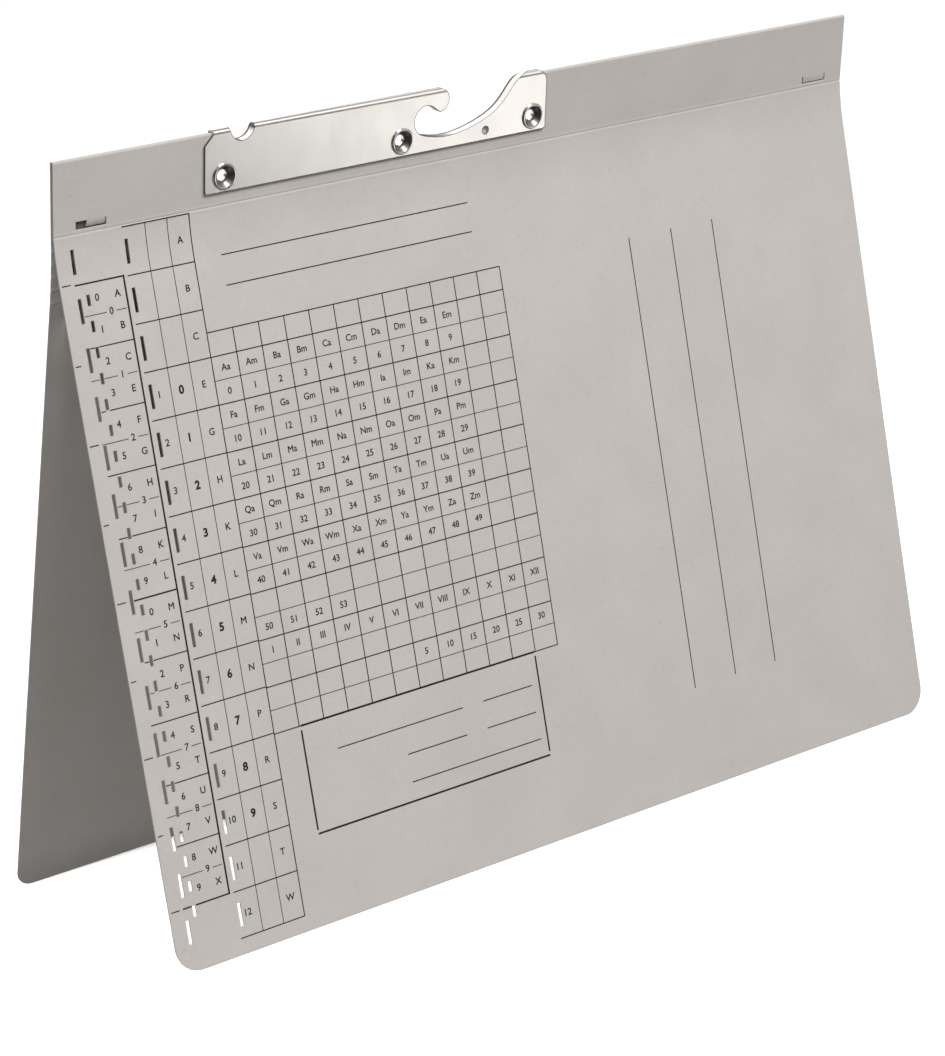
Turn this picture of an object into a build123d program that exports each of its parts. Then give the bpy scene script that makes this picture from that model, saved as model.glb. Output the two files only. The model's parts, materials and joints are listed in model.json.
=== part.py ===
"""Hanging file folder: a card tent that hangs from a steel hook plate riveted over its folded spine."""

import os
from math import cos, radians, sin

from build123d import *

os.makedirs("parts", exist_ok=True)

# Card sheet: one board folded along the top, with a cover on each side
folder_width = 318.0
cover_length = 221.0
strip_height = 22.5
card = 0.45
strip_gap = 0.6
front_corner_radius = 8.5
back_corner_radius = 5.5

# Stance of the tent, in degrees from upright
spine_lean = 5.3
front_crease_tilt = 2.0
front_tilt = 11.6
front_bend_radius = 85.0
back_tilt = 11.9

# Crease and score lines, where the board turns
score_setback = 0.15
score_count = 5
score_pitch = 4.0

# Slits along the front cover's left edge, for index riders
slit_width = 1.2
long_slit_length = 7.3
long_slit_count = 15
long_slit_drop = 7.9
long_slit_foot = 12.2
long_slit_inset = 5.8
long_slit_column_pitch = 18.8
short_slit_length = 3.3
short_slit_count = 25
short_slit_drop = 19.5
short_slit_foot = 17.9
short_slit_inset = 8.9

# Slots near the two ends of the strip, through its front layer
strip_slot_length = 10.6
strip_slot_height = 2.5
strip_slot_inset = 12.9
strip_slot_rise = 2.4

# Hanger: sheet steel folded over the strip, punched to a hook
steel = 0.5
fold_clearance = 0.3
leg_clearance = 0.25
hanger_arm = 83.6
hanger_tail = 48.6
hanger_bottom = 4.1
hanger_shoulder_drop = 4.3
hanger_shoulder_width = 3.2
hanger_corner_radius = 1.0
hanger_right_radius = 3.9
notch_inset = 13.7
notch_radius = 4.45
notch_rise = 0.1
punch_margin = 0.3
punch_flange = 0.2
pilot_inset = 24.7
pilot_rise = 7.25
pilot_radius = 1.2

# Hook throat: a round seat under a rounded finger, then a floor that climbs to the right
seat_x = -23.0
seat_rise = 14.0
seat_radius = 4.65
seat_start = 55.0
seat_wrap = 196.0
nose_lead = 5.3
nose_radius = 3.7
floor_radius = 30.0
floor_turn = 27.0
slope_radius = 49.0
slope_turn = 15.0
climb_radius = 20.0
climb_turn = 27.0
crown_radius = 9.0

# Hollow rivets, dished at the front and rolled over at the back
rivet_left_inset = 7.1
rivet_middle_lead = 9.4
rivet_right_inset = 5.5
rivet_rise = 8.85
rivet_bore_radius = 1.75
rivet_shank_radius = 2.2
rivet_flange_radius = 4.2
rivet_rim = 0.5
rivet_crown_width = 0.2
rivet_cone_radius = 3.3
rivet_dish_depth = 1.75
rivet_neck_depth = 0.9
rivet_back_radius = 3.05
rivet_back_rim = 0.45
rivet_back_flare = 0.85
rivet_clearance = 0.1

# Two-prong fastener on the inside of the front cover
fastener_drop = 20.5
prong_spacing = 80.0
prong_length = 27.0
prong_width = 6.0
prong_steel = 0.4
bar_steel = 0.4
bar_length = 112.0
bar_step = 0.45
bar_flange = 1.6
channel_clearance = 0.2
prong_slot_room = 0.6
lock_steel = 0.4
lock_length = 8.0
lock_place = 18.0
lock_clearance = 0.1
lock_side_clearance = 0.2
lock_lip = 1.0
lock_rib_width = 1.2
lock_rib_height = 0.3

# One overrun serves every cut
cut_overrun = 5.0


def front_down(tilt):
    """Direction down a panel that leans to the front."""
    return Vector(0, -sin(radians(tilt)), -cos(radians(tilt)))


def front_out(tilt):
    """Outward normal of a panel that leans to the front."""
    return Vector(0, -cos(radians(tilt)), sin(radians(tilt)))


def back_down(tilt):
    """Direction down a panel that leans to the back."""
    return Vector(0, sin(radians(tilt)), -cos(radians(tilt)))


def back_out(tilt):
    """Outward normal of a panel that leans to the back."""
    return Vector(0, cos(radians(tilt)), sin(radians(tilt)))


# Where the tent stands: both covers end on the floor, and the footprint is centred on the origin
along_x = Vector(1, 0, 0)
strip_depth = 2 * card + strip_gap
front_turn = front_tilt - front_crease_tilt
front_bend_length = score_setback + front_bend_radius * radians(front_turn)
front_flat_length = cover_length - front_bend_length
front_bend_end = (
    front_down(front_crease_tilt) * score_setback
    + (front_out(front_crease_tilt) - front_out(front_tilt)) * front_bend_radius
)
front_foot = front_bend_end + front_down(front_tilt) * front_flat_length
crease_height = card * sin(radians(front_tilt)) - front_foot.Z

score_bend = (back_tilt - spine_lean) / score_count
score_tilts = [spine_lean + score_bend * number for number in range(1, score_count + 1)]
score_lines = [back_out(spine_lean) * strip_depth + back_down(spine_lean) * score_pitch]
for tilt in score_tilts[:-1]:
    score_lines.append(score_lines[-1] + back_down(tilt) * score_pitch)
back_cover_drop = crease_height + score_lines[-1].Z - card * sin(radians(back_tilt))
back_cover_length = back_cover_drop / cos(radians(back_tilt))
back_foot = score_lines[-1] + back_down(back_tilt) * back_cover_length

crease = Vector(0, -(front_foot.Y + back_foot.Y) / 2, crease_height)
spine_face = Plane(origin=crease, x_dir=along_x, z_dir=-back_out(spine_lean))
spine_side = Plane(origin=crease, x_dir=back_out(spine_lean), z_dir=along_x)
front_face = Plane(origin=crease + front_bend_end, x_dir=along_x, z_dir=front_out(front_tilt))

# Ends of the hanger and places of its rivets, counted from the hook's seat
hanger_left = seat_x - hanger_arm
hanger_right = seat_x + hanger_tail
hanger_top = strip_height + fold_clearance + steel
hanger_front = -leg_clearance - steel
hanger_back = strip_depth + leg_clearance + steel
hanger_fold_radius = (hanger_back - hanger_front) / 2
hanger_leg_top = hanger_top - hanger_fold_radius
rivet_places = (
    ("rivet_left", hanger_left + rivet_left_inset),
    ("rivet_middle", seat_x - rivet_middle_lead),
    ("rivet_right", hanger_right - rivet_right_inset),
)

# Hook throat, the opening that the hanging rail passes into, drawn on the strip's front face
with BuildSketch(spine_face) as hook_throat:
    with BuildLine():
        seat = CenterArc((seat_x, seat_rise), seat_radius, seat_start, seat_wrap)
        throat_floor = JernArc(seat @ 1, seat % 1, floor_radius, floor_turn)
        slope = JernArc(throat_floor @ 1, throat_floor % 1, slope_radius, slope_turn)
        climb = JernArc(slope @ 1, slope % 1, climb_radius, climb_turn)
        ramp_angle = seat_start + seat_wrap + floor_turn + slope_turn + climb_turn - 270
        crown_drop = crown_radius * (1 - cos(radians(ramp_angle)))
        ramp_height = hanger_top - crown_drop - (climb @ 1).Y
        ramp = PolarLine(climb @ 1, ramp_height / sin(radians(ramp_angle)), ramp_angle)
        crown = JernArc(ramp @ 1, ramp % 1, crown_radius, -ramp_angle)
        nose = CenterArc((seat_x + nose_lead, hanger_top - nose_radius), nose_radius, -90, 180)
        mouth_right = Line(crown @ 1, crown @ 1 + Vector(0, cut_overrun))
        mouth_left = Line(nose @ 1, nose @ 1 + Vector(0, cut_overrun))
        Line(mouth_right @ 1, mouth_left @ 1)
        Line(nose @ 0, seat @ 0)
    make_face()

# Small round notch in the hanger's top edge
with BuildSketch(spine_face) as top_notch:
    with Locations((hanger_left + notch_inset, hanger_top + notch_rise)):
        Circle(notch_radius)

# Rivet holes, wide through the front layers for the dish and narrow through the back layers
rivet_spots = [(x, rivet_rise) for name, x in rivet_places]
with BuildSketch(spine_face.offset(-strip_depth / 2)) as rivet_front_holes:
    with Locations(*rivet_spots):
        Circle(rivet_cone_radius + rivet_clearance)
with BuildSketch(spine_face.offset(-strip_depth / 2)) as rivet_back_holes:
    with Locations(*rivet_spots):
        Circle(rivet_shank_radius + rivet_clearance)


def draw_folded_sheet(front_face_depth, back_face_depth, sheet, front_bottom, back_bottom, fold_start):
    """Outline of a sheet folded over at the top, seen from the side, for an open line sketch."""
    fold_radius = (back_face_depth - front_face_depth) / 2
    outer_front = Line((front_face_depth, front_bottom), (front_face_depth, fold_start))
    outer_fold = JernArc(outer_front @ 1, outer_front % 1, fold_radius, -180)
    outer_back = Line(outer_fold @ 1, (back_face_depth, back_bottom))
    back_edge = Line(outer_back @ 1, (back_face_depth - sheet, back_bottom))
    inner_back = Line(back_edge @ 1, (back_face_depth - sheet, fold_start))
    inner_fold = JernArc(inner_back @ 1, inner_back % 1, fold_radius - sheet, 180)
    inner_front = Line(inner_fold @ 1, (front_face_depth + sheet, front_bottom))
    Line(inner_front @ 1, outer_front @ 0)


# Strip: the board folded over on itself, its back layer running down to the first score line
strip_fold_start = strip_height - strip_depth / 2
back_layer_bottom = score_setback - score_pitch
with BuildPart() as spine_strip:
    with BuildSketch(spine_side):
        with BuildLine():
            draw_folded_sheet(0, strip_depth, card, score_setback, back_layer_bottom, strip_fold_start)
        make_face()
    extrude(amount=folder_width / 2, both=True)
    with BuildSketch(spine_face):
        slot_centre = folder_width / 2 - strip_slot_inset
        with Locations((-slot_centre, strip_slot_rise), (slot_centre, strip_slot_rise)):
            Rectangle(strip_slot_length, strip_slot_height)
    extrude(amount=-strip_depth / 2, mode=Mode.SUBTRACT)
    extrude(offset(hook_throat.sketch, amount=punch_margin, mode=Mode.PRIVATE), amount=cut_overrun,
            both=True, mode=Mode.SUBTRACT)
    extrude(offset(top_notch.sketch, amount=punch_margin, mode=Mode.PRIVATE), amount=cut_overrun,
            both=True, mode=Mode.SUBTRACT)
    extrude(rivet_front_holes.sketch, amount=cut_overrun, mode=Mode.SUBTRACT)
    extrude(rivet_back_holes.sketch, amount=-cut_overrun, mode=Mode.SUBTRACT)
spine_strip.part.label = "spine_strip"
export_step(spine_strip.part, "parts/spine_strip.step")

# Front cover: bends forward below the crease, then runs flat to its rounded corners, its slits spread evenly
long_slit_pitch = (cover_length - long_slit_drop - long_slit_foot) / (long_slit_count - 1)
short_slit_pitch = (cover_length - short_slit_drop - short_slit_foot) / (short_slit_count - 1)
with BuildPart() as front_cover:
    with BuildSketch(Plane.YZ):
        with BuildLine():
            cover_top = crease + front_down(front_crease_tilt) * score_setback
            top_heading = front_down(front_crease_tilt)
            cover_bend = JernArc(
                (cover_top.Y, cover_top.Z), (top_heading.Y, top_heading.Z), front_bend_radius, -front_turn
            )
            flat_heading = front_down(front_tilt)
            through_card = -front_out(front_tilt) * card
            cover_flat = PolarLine(
                cover_bend @ 1, front_flat_length, direction=(flat_heading.Y, flat_heading.Z)
            )
            foot_edge = Line(cover_flat @ 1, cover_flat @ 1 + Vector(through_card.Y, through_card.Z))
            inner_flat = Line(foot_edge @ 1, cover_bend @ 1 + Vector(through_card.Y, through_card.Z))
            inner_bend = JernArc(inner_flat @ 1, inner_flat % 1, front_bend_radius + card, front_turn)
            Line(inner_bend @ 1, cover_bend @ 0)
        make_face()
    extrude(amount=folder_width / 2, both=True)
    foot_edges = front_cover.edges().filter_by(Axis((0, 0, 0), front_out(front_tilt))).group_by(Axis.Z)[0]
    fillet(foot_edges, radius=front_corner_radius)
    with BuildSketch(front_face):
        long_column_middle = long_slit_inset + long_slit_column_pitch / 2 - folder_width / 2
        long_row_middle = front_bend_length - long_slit_drop - long_slit_pitch * (long_slit_count - 1) / 2
        with Locations((long_column_middle, long_row_middle)):
            with GridLocations(long_slit_column_pitch, long_slit_pitch, 2, long_slit_count):
                Rectangle(slit_width, long_slit_length)
        short_column = short_slit_inset - folder_width / 2
        short_row_middle = front_bend_length - short_slit_drop - short_slit_pitch * (short_slit_count - 1) / 2
        with Locations((short_column, short_row_middle)):
            with GridLocations(slit_width, short_slit_pitch, 1, short_slit_count):
                Rectangle(slit_width, short_slit_length)
    extrude(amount=cut_overrun, both=True, mode=Mode.SUBTRACT)
front_cover.part.label = "front_cover"
export_step(front_cover.part, "parts/front_cover.step")


def back_panel_plane(line, tilt):
    """Outer face of a back panel, with its origin on the score line above it and Y running down the panel."""
    return Plane(origin=crease + line, x_dir=along_x, z_dir=back_out(tilt))


# Slats of the back panel between the score lines
for number in range(1, score_count):
    with BuildPart() as score_slat:
        with BuildSketch(back_panel_plane(score_lines[number - 1], score_tilts[number - 1])):
            with Locations((0, score_setback)):
                Rectangle(folder_width, score_pitch - 2 * score_setback, align=(Align.CENTER, Align.MIN))
        extrude(amount=-card)
    score_slat.part.label = f"back_slat_{number}"
    export_step(score_slat.part, f"parts/back_slat_{number}.step")

# Back cover, from the last score line to the floor
with BuildPart() as back_cover:
    with BuildSketch(back_panel_plane(score_lines[-1], back_tilt)):
        with Locations((0, score_setback)):
            Rectangle(folder_width, back_cover_length - score_setback, align=(Align.CENTER, Align.MIN))
    extrude(amount=-card)
    foot_edges = back_cover.edges().filter_by(Axis((0, 0, 0), back_out(back_tilt))).group_by(Axis.Z)[0]
    fillet(foot_edges, radius=back_corner_radius)
back_cover.part.label = "back_cover"
export_step(back_cover.part, "parts/back_cover.step")

# Hanger blank: the outline that is punched before the sheet is folded over the strip
with BuildSketch(spine_face) as hanger_blank:
    with BuildLine():
        Polyline(
            (hanger_left, hanger_bottom),
            (hanger_left, hanger_top - hanger_shoulder_drop),
            (hanger_left + hanger_shoulder_width, hanger_top - hanger_shoulder_drop + hanger_shoulder_width),
            (hanger_left + hanger_shoulder_width, hanger_top),
            (hanger_right, hanger_top),
            (hanger_right, hanger_bottom),
            close=True,
        )
    make_face()
    fillet(hanger_blank.vertices().group_by(Axis.Y)[0], radius=hanger_corner_radius)
    fillet(hanger_blank.vertices().group_by(Axis.Y)[-1].sort_by(Axis.X)[-1], radius=hanger_right_radius)

# Flange drawn in round the hook and the notch, which closes the gap between the hanger's legs there
with BuildSketch(spine_face) as flange_outline:
    add(offset(hook_throat.sketch_local, amount=punch_flange, mode=Mode.PRIVATE))
    add(offset(top_notch.sketch_local, amount=punch_flange, mode=Mode.PRIVATE))
with BuildPart() as hanger_flange:
    with BuildSketch(spine_side.offset(hanger_left)):
        with BuildLine():
            outer_front = Line((hanger_front, hanger_bottom), (hanger_front, hanger_leg_top))
            outer_fold = JernArc(outer_front @ 1, outer_front % 1, hanger_fold_radius, -180)
            outer_back = Line(outer_fold @ 1, (hanger_back, hanger_bottom))
            Line(outer_back @ 1, outer_front @ 0)
        make_face()
    extrude(amount=hanger_right - hanger_left)
    extrude(flange_outline.sketch, amount=cut_overrun, both=True, mode=Mode.INTERSECT)

# Hanger: a narrow channel folded over the strip, cut to the blank's outline
with BuildPart() as hanger:
    with BuildSketch(spine_side.offset(hanger_left)):
        with BuildLine():
            draw_folded_sheet(hanger_front, hanger_back, steel, hanger_bottom, hanger_bottom, hanger_leg_top)
        make_face()
    extrude(amount=hanger_right - hanger_left)
    add(hanger_flange.part)
    extrude(hanger_blank.sketch, amount=cut_overrun, both=True, mode=Mode.INTERSECT)
    extrude(hook_throat.sketch, amount=cut_overrun, both=True, mode=Mode.SUBTRACT)
    extrude(top_notch.sketch, amount=cut_overrun, both=True, mode=Mode.SUBTRACT)
    extrude(rivet_front_holes.sketch, amount=cut_overrun, mode=Mode.SUBTRACT)
    extrude(rivet_back_holes.sketch, amount=-cut_overrun, mode=Mode.SUBTRACT)
    with BuildSketch(spine_face):
        with Locations((hanger_right - pilot_inset, pilot_rise)):
            Circle(pilot_radius)
    extrude(amount=cut_overrun, mode=Mode.SUBTRACT)
hanger.part.label = "hanger"
export_step(hanger.part, "parts/hanger.step")

# Rivets: a dished flange at the front, a bore right through and a rolled rim at the back
rivet_crown_radius = rivet_flange_radius - rivet_rim - rivet_crown_width
rivet_dish_floor = hanger_front - rivet_rim + rivet_dish_depth
rivet_back_crown = rivet_back_radius - rivet_back_rim
front_rim = CenterArc((hanger_front, rivet_flange_radius - rivet_rim), rivet_rim, 90, 90)
back_rim = CenterArc((hanger_back, rivet_back_crown), rivet_back_rim, 0, 90)
for rivet_name, rivet_x in rivet_places:
    rivet_plane = Plane(
        origin=spine_face.from_local_coords((rivet_x, rivet_rise, 0)), x_dir=spine_side.x_dir, z_dir=along_x
    )
    with BuildPart() as rivet:
        with BuildSketch(rivet_plane):
            with BuildLine():
                Polyline(
                    front_rim @ 0,
                    front_rim @ 0.5,
                    front_rim @ 1,
                    (hanger_front - rivet_rim, rivet_crown_radius),
                    (rivet_dish_floor, rivet_bore_radius),
                    (hanger_back + rivet_back_rim - rivet_back_flare, rivet_bore_radius),
                    back_rim @ 0,
                    back_rim @ 0.5,
                    back_rim @ 1,
                    (hanger_back, rivet_shank_radius),
                    (rivet_neck_depth, rivet_shank_radius),
                    (hanger_front, rivet_cone_radius),
                    close=True,
                )
            make_face()
        revolve(axis=Axis(rivet_plane.origin, rivet_plane.x_dir))
    rivet.part.label = rivet_name
    export_step(rivet.part, f"parts/{rivet_name}.step")

# Fastener planes: across the prongs and along the bar, both set on the front cover's inner face
fastener_origin = (
    crease
    + front_bend_end
    + front_down(front_tilt) * (fastener_drop - front_bend_length)
    - front_out(front_tilt) * card
)
fastener_length_plane = Plane(origin=fastener_origin, x_dir=along_x, z_dir=-front_down(front_tilt))
fastener_section_plane = Plane(origin=fastener_origin, x_dir=front_down(front_tilt), z_dir=along_x)
fastener_top_plane = Plane(origin=fastener_origin, x_dir=along_x, z_dir=-front_out(front_tilt))

# Fastener base: one strip whose ends turn up as prongs and fold back over the bar
prong_turn_radius = bar_steel / 2 + prong_steel
prong_bottom = prong_steel + bar_steel
prong_top = prong_bottom + prong_steel
prong_tip = prong_spacing / 2 - prong_length
with BuildPart() as fastener_base:
    with BuildSketch(fastener_length_plane):
        with BuildLine():
            base_under = Line((-prong_spacing / 2, 0), (prong_spacing / 2, 0))
            right_outer = JernArc(base_under @ 1, base_under % 1, prong_turn_radius, 180)
            right_tip = Polyline(right_outer @ 1, (prong_tip, prong_top), (prong_tip, prong_bottom))
            right_under = Line(right_tip @ 1, (prong_spacing / 2, prong_bottom))
            right_inner = JernArc(right_under @ 1, right_under % 1, bar_steel / 2, -180)
            base_over = Line(right_inner @ 1, (-prong_spacing / 2, prong_steel))
            left_inner = JernArc(base_over @ 1, base_over % 1, bar_steel / 2, -180)
            left_tip = Polyline(left_inner @ 1, (-prong_tip, prong_bottom), (-prong_tip, prong_top))
            left_over = Line(left_tip @ 1, (-prong_spacing / 2, prong_top))
            JernArc(left_over @ 1, left_over % 1, prong_turn_radius, 180)
        make_face()
    extrude(amount=prong_width / 2, both=True)
fastener_base.part.label = "fastener_base"
export_step(fastener_base.part, "parts/fastener_base.step")

# Compressor bar: a shallow channel that lies on the base, with a slot for each prong
bar_half_channel = prong_width / 2 + channel_clearance
bar_web_half = bar_half_channel + bar_steel
bar_flange_bottom = prong_steel + bar_step
bar_half_width = bar_half_channel + bar_flange
with BuildPart() as compressor_bar:
    with BuildSketch(fastener_section_plane):
        with BuildLine():
            Polyline(
                (-bar_half_width, bar_flange_bottom),
                (-bar_web_half, bar_flange_bottom),
                (-bar_web_half, prong_steel),
                (bar_web_half, prong_steel),
                (bar_web_half, bar_flange_bottom),
                (bar_half_width, bar_flange_bottom),
                (bar_half_width, bar_flange_bottom + bar_steel),
                (bar_half_channel, bar_flange_bottom + bar_steel),
                (bar_half_channel, prong_steel + bar_steel),
                (-bar_half_channel, prong_steel + bar_steel),
                (-bar_half_channel, bar_flange_bottom + bar_steel),
                (-bar_half_width, bar_flange_bottom + bar_steel),
                close=True,
            )
        make_face()
    extrude(amount=bar_length / 2, both=True)
    with BuildSketch(fastener_top_plane):
        with GridLocations(prong_spacing, bar_half_channel, 2, 1):
            Rectangle(2 * (prong_turn_radius + prong_slot_room), 2 * bar_half_channel)
    extrude(amount=cut_overrun, both=True, mode=Mode.SUBTRACT)
compressor_bar.part.label = "compressor_bar"
export_step(compressor_bar.part, "parts/compressor_bar.step")

# Slide locks: saddles that run on the bar's flanges and cover the prong tips
lock_inner_half = bar_half_width + lock_side_clearance
lock_outer_half = lock_inner_half + lock_steel
lock_plate_bottom = bar_flange_bottom + bar_steel + lock_clearance
lock_plate_top = lock_plate_bottom + lock_steel
lock_lip_top = bar_flange_bottom - lock_clearance
lock_lip_half = lock_inner_half - lock_lip
for lock_name, lock_side in (("slide_lock_left", -1), ("slide_lock_right", 1)):
    with BuildPart() as slide_lock:
        with BuildSketch(fastener_section_plane.offset(lock_side * lock_place)):
            with BuildLine():
                Polyline(
                    (-lock_lip_half, lock_lip_top),
                    (-lock_inner_half, lock_lip_top),
                    (-lock_inner_half, lock_plate_bottom),
                    (lock_inner_half, lock_plate_bottom),
                    (lock_inner_half, lock_lip_top),
                    (lock_lip_half, lock_lip_top),
                    (lock_lip_half, lock_lip_top - lock_steel),
                    (lock_outer_half, lock_lip_top - lock_steel),
                    (lock_outer_half, lock_plate_top),
                    (-lock_outer_half, lock_plate_top),
                    (-lock_outer_half, lock_lip_top - lock_steel),
                    (-lock_lip_half, lock_lip_top - lock_steel),
                    close=True,
                )
            make_face()
        extrude(amount=lock_length / 2, both=True)
        with BuildSketch(fastener_top_plane.offset(lock_plate_top)):
            with Locations((lock_side * lock_place, 0)):
                Rectangle(lock_rib_width, 2 * bar_half_channel)
        extrude(amount=lock_rib_height)
    slide_lock.part.label = lock_name
    export_step(slide_lock.part, f"parts/{lock_name}.step")
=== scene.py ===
import json
from math import cos, exp, pi, radians, sin

import bmesh
import bpy
from mathutils import Matrix, Vector


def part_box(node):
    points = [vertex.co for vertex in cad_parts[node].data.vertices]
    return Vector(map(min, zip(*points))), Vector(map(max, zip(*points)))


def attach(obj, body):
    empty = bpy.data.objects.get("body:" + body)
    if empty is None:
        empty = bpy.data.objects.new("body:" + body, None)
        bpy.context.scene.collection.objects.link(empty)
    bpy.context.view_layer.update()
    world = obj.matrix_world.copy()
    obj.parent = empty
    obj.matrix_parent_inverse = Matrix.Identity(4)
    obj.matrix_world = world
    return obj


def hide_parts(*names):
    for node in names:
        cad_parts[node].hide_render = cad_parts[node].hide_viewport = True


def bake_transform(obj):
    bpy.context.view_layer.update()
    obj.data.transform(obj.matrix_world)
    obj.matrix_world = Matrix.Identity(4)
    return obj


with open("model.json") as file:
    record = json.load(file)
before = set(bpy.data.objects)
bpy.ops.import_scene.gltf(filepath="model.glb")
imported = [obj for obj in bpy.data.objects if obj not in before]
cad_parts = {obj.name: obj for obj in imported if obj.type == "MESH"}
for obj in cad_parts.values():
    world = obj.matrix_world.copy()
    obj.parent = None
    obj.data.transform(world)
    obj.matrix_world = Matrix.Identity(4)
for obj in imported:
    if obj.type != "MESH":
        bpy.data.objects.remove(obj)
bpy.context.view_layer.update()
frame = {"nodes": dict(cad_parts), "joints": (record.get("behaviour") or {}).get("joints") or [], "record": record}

# Spine strip
# The top of the folder's one sheet of grey recycled board, folded over itself and glued to a double strip.
# The board is rolled smooth and die-cut, so its cut edges are a little rounded and show paler fibres.
mm = 0.001
colour_socket = "NodeSocketColor"
value_socket = "NodeSocketFloat"
# Places of the mix node's sockets when it mixes colours
mix_first = 6
mix_second = 7
mix_result = 2
# The board's colours, then the painted shade between the strip's layers, its texture, its edges and how the strip
# leans
board_tone = (0.505, 0.476, 0.452, 1.0)
board_cloud = (0.485, 0.455, 0.430, 1.0)
board_dark_fibre = (0.300, 0.275, 0.250, 1.0)
board_pale_fibre = (0.640, 0.620, 0.600, 1.0)
edge_tone = (0.560, 0.532, 0.505, 1.0)
edge_cloud = (0.500, 0.472, 0.446, 1.0)
# Painted shade: a dark board tone on the faces between the strip's layers, standing for the shade inside the slots
painted_shade_tone = (0.120, 0.108, 0.096, 1.0)
painted_shade_cloud = (0.085, 0.076, 0.068, 1.0)
painted_shade_depth = 0.7 * mm
painted_shade_reach = 154 * mm
board_tooth = 0.016 * mm
edge_tooth = 0.030 * mm
board_gloss = 0.25
board_roughness = (0.80, 0.95)
cloud_scale = 42.0
pulp_scale = 850.0
pulp_speckle = (0.97, 1.03)
tooth_scale = 4200.0
tooth_rise = 0.6
thread_scale = 420.0
thread_width = 0.022
thread_rise = 0.7
patch_scale = 260.0
patch_edge = (0.54, 0.62)
dark_thread_share = 0.22
pale_thread_share = 0.20
pale_thread_shift = 0.37
cut_edge_round = 0.05 * mm
round_segments = 2
weld_distance = 0.002 * mm
flat_angle = radians(0.1)
corner_angle = radians(40)
cut_edge_facing = 0.7
fold_top_facing = 0.3
layer_facing = 0.9
spine_lean = radians(5.3)
spine_out = Vector((0, -cos(spine_lean), -sin(spine_lean)))
strip_up = Vector((0, -sin(spine_lean), cos(spine_lean)))


def wire(tree, kind, feeds, **options):
    """Adds one node. A feed is a plain value, or the output that drives the socket it is named for."""
    node = tree.nodes.new(kind)
    for option, setting in options.items():
        setattr(node, option, setting)
    for socket, feed in feeds.items():
        if isinstance(feed, bpy.types.NodeSocket):
            tree.links.new(feed, node.inputs[socket])
        else:
            node.inputs[socket].default_value = feed
    return node


def open_group(name, inputs, outputs):
    """A shader group with its sockets named, and the outputs of its input node."""
    tree = bpy.data.node_groups.new(name, "ShaderNodeTree")
    for socket, kind in inputs.items():
        tree.interface.new_socket(socket, in_out="INPUT", socket_type=kind)
    for socket, kind in outputs.items():
        tree.interface.new_socket(socket, in_out="OUTPUT", socket_type=kind)
    return tree, tree.nodes.new("NodeGroupInput").outputs


def span(tree, source, low, high, start=0.0, end=1.0):
    """Spreads a value that runs from low to high over start to end."""
    ranged = wire(
        tree, "ShaderNodeMapRange",
        {"Value": source, "From Min": low, "From Max": high, "To Min": start, "To Max": end},
    )
    return ranged.outputs["Result"]


def reckon(tree, kind, first, second):
    """One step of arithmetic on two values."""
    return wire(tree, "ShaderNodeMath", {0: first, 1: second}, operation=kind).outputs[0]


def noise(tree, place, scale, detail, **more):
    """A soft random pattern over the surface, from 0 to 1."""
    feeds = {"Vector": place, "Scale": scale, "Detail": detail, **more}
    return wire(tree, "ShaderNodeTexNoise", feeds).outputs[0]


def mix_colours(tree, share, first, second, kind="MIX"):
    """Lays a share of the second colour over the first."""
    mixed = wire(
        tree, "ShaderNodeMix", {0: share, mix_first: first, mix_second: second},
        data_type="RGBA", blend_type=kind,
    )
    return mixed.outputs[mix_result]


board_fibre, given = open_group(
    "board_fibre",
    {
        "Tone": colour_socket, "Cloud": colour_socket,
        "Dark Fibre": colour_socket, "Pale Fibre": colour_socket,
    },
    {"Color": colour_socket, "Roughness": value_socket, "Height": value_socket},
)


def fibre_threads(place, shift, strength):
    """Short curled threads: thin contour lines of one noise, kept only where a second noise is high."""
    mapping = wire(board_fibre, "ShaderNodeMapping", {"Vector": place, "Location": (shift, shift, shift)})
    moved = mapping.outputs[0]
    curl = noise(board_fibre, moved, thread_scale, 1.0, Distortion=0.9)
    centred = reckon(board_fibre, "SUBTRACT", curl, 0.5)
    thread = span(board_fibre, reckon(board_fibre, "ABSOLUTE", centred, 0.0), 0.0, thread_width, 1.0, 0.0)
    patch = noise(board_fibre, moved, patch_scale, 0.0)
    kept = span(board_fibre, patch, *patch_edge, 0.0, strength)
    return reckon(board_fibre, "MULTIPLY", thread, kept)


place = wire(board_fibre, "ShaderNodeTexCoord", {}).outputs["Object"]
cloud = noise(board_fibre, place, cloud_scale, 3.0)
pulp = noise(board_fibre, place, pulp_scale, 4.0, Roughness=0.65)
tooth = noise(board_fibre, place, tooth_scale, 2.0)
dark_threads = fibre_threads(place, 0.0, dark_thread_share)
pale_threads = fibre_threads(place, pale_thread_shift, pale_thread_share)
cloud_share = span(board_fibre, cloud, 0.35, 0.65)
clouded = mix_colours(board_fibre, cloud_share, given["Tone"], given["Cloud"])
threaded = mix_colours(board_fibre, dark_threads, clouded, given["Dark Fibre"])
threaded = mix_colours(board_fibre, pale_threads, threaded, given["Pale Fibre"])
speckle = span(board_fibre, pulp, 0.25, 0.75, *pulp_speckle)
raised = reckon(board_fibre, "ADD", pulp, reckon(board_fibre, "MULTIPLY", tooth, tooth_rise))
raised = reckon(board_fibre, "ADD", raised, reckon(board_fibre, "MULTIPLY", pale_threads, thread_rise))
wire(
    board_fibre, "NodeGroupOutput",
    {
        "Color": mix_colours(board_fibre, 1.0, threaded, speckle, "MULTIPLY"),
        "Roughness": span(board_fibre, pulp, 0.3, 0.7, *board_roughness),
        "Height": raised,
    },
)


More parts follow.
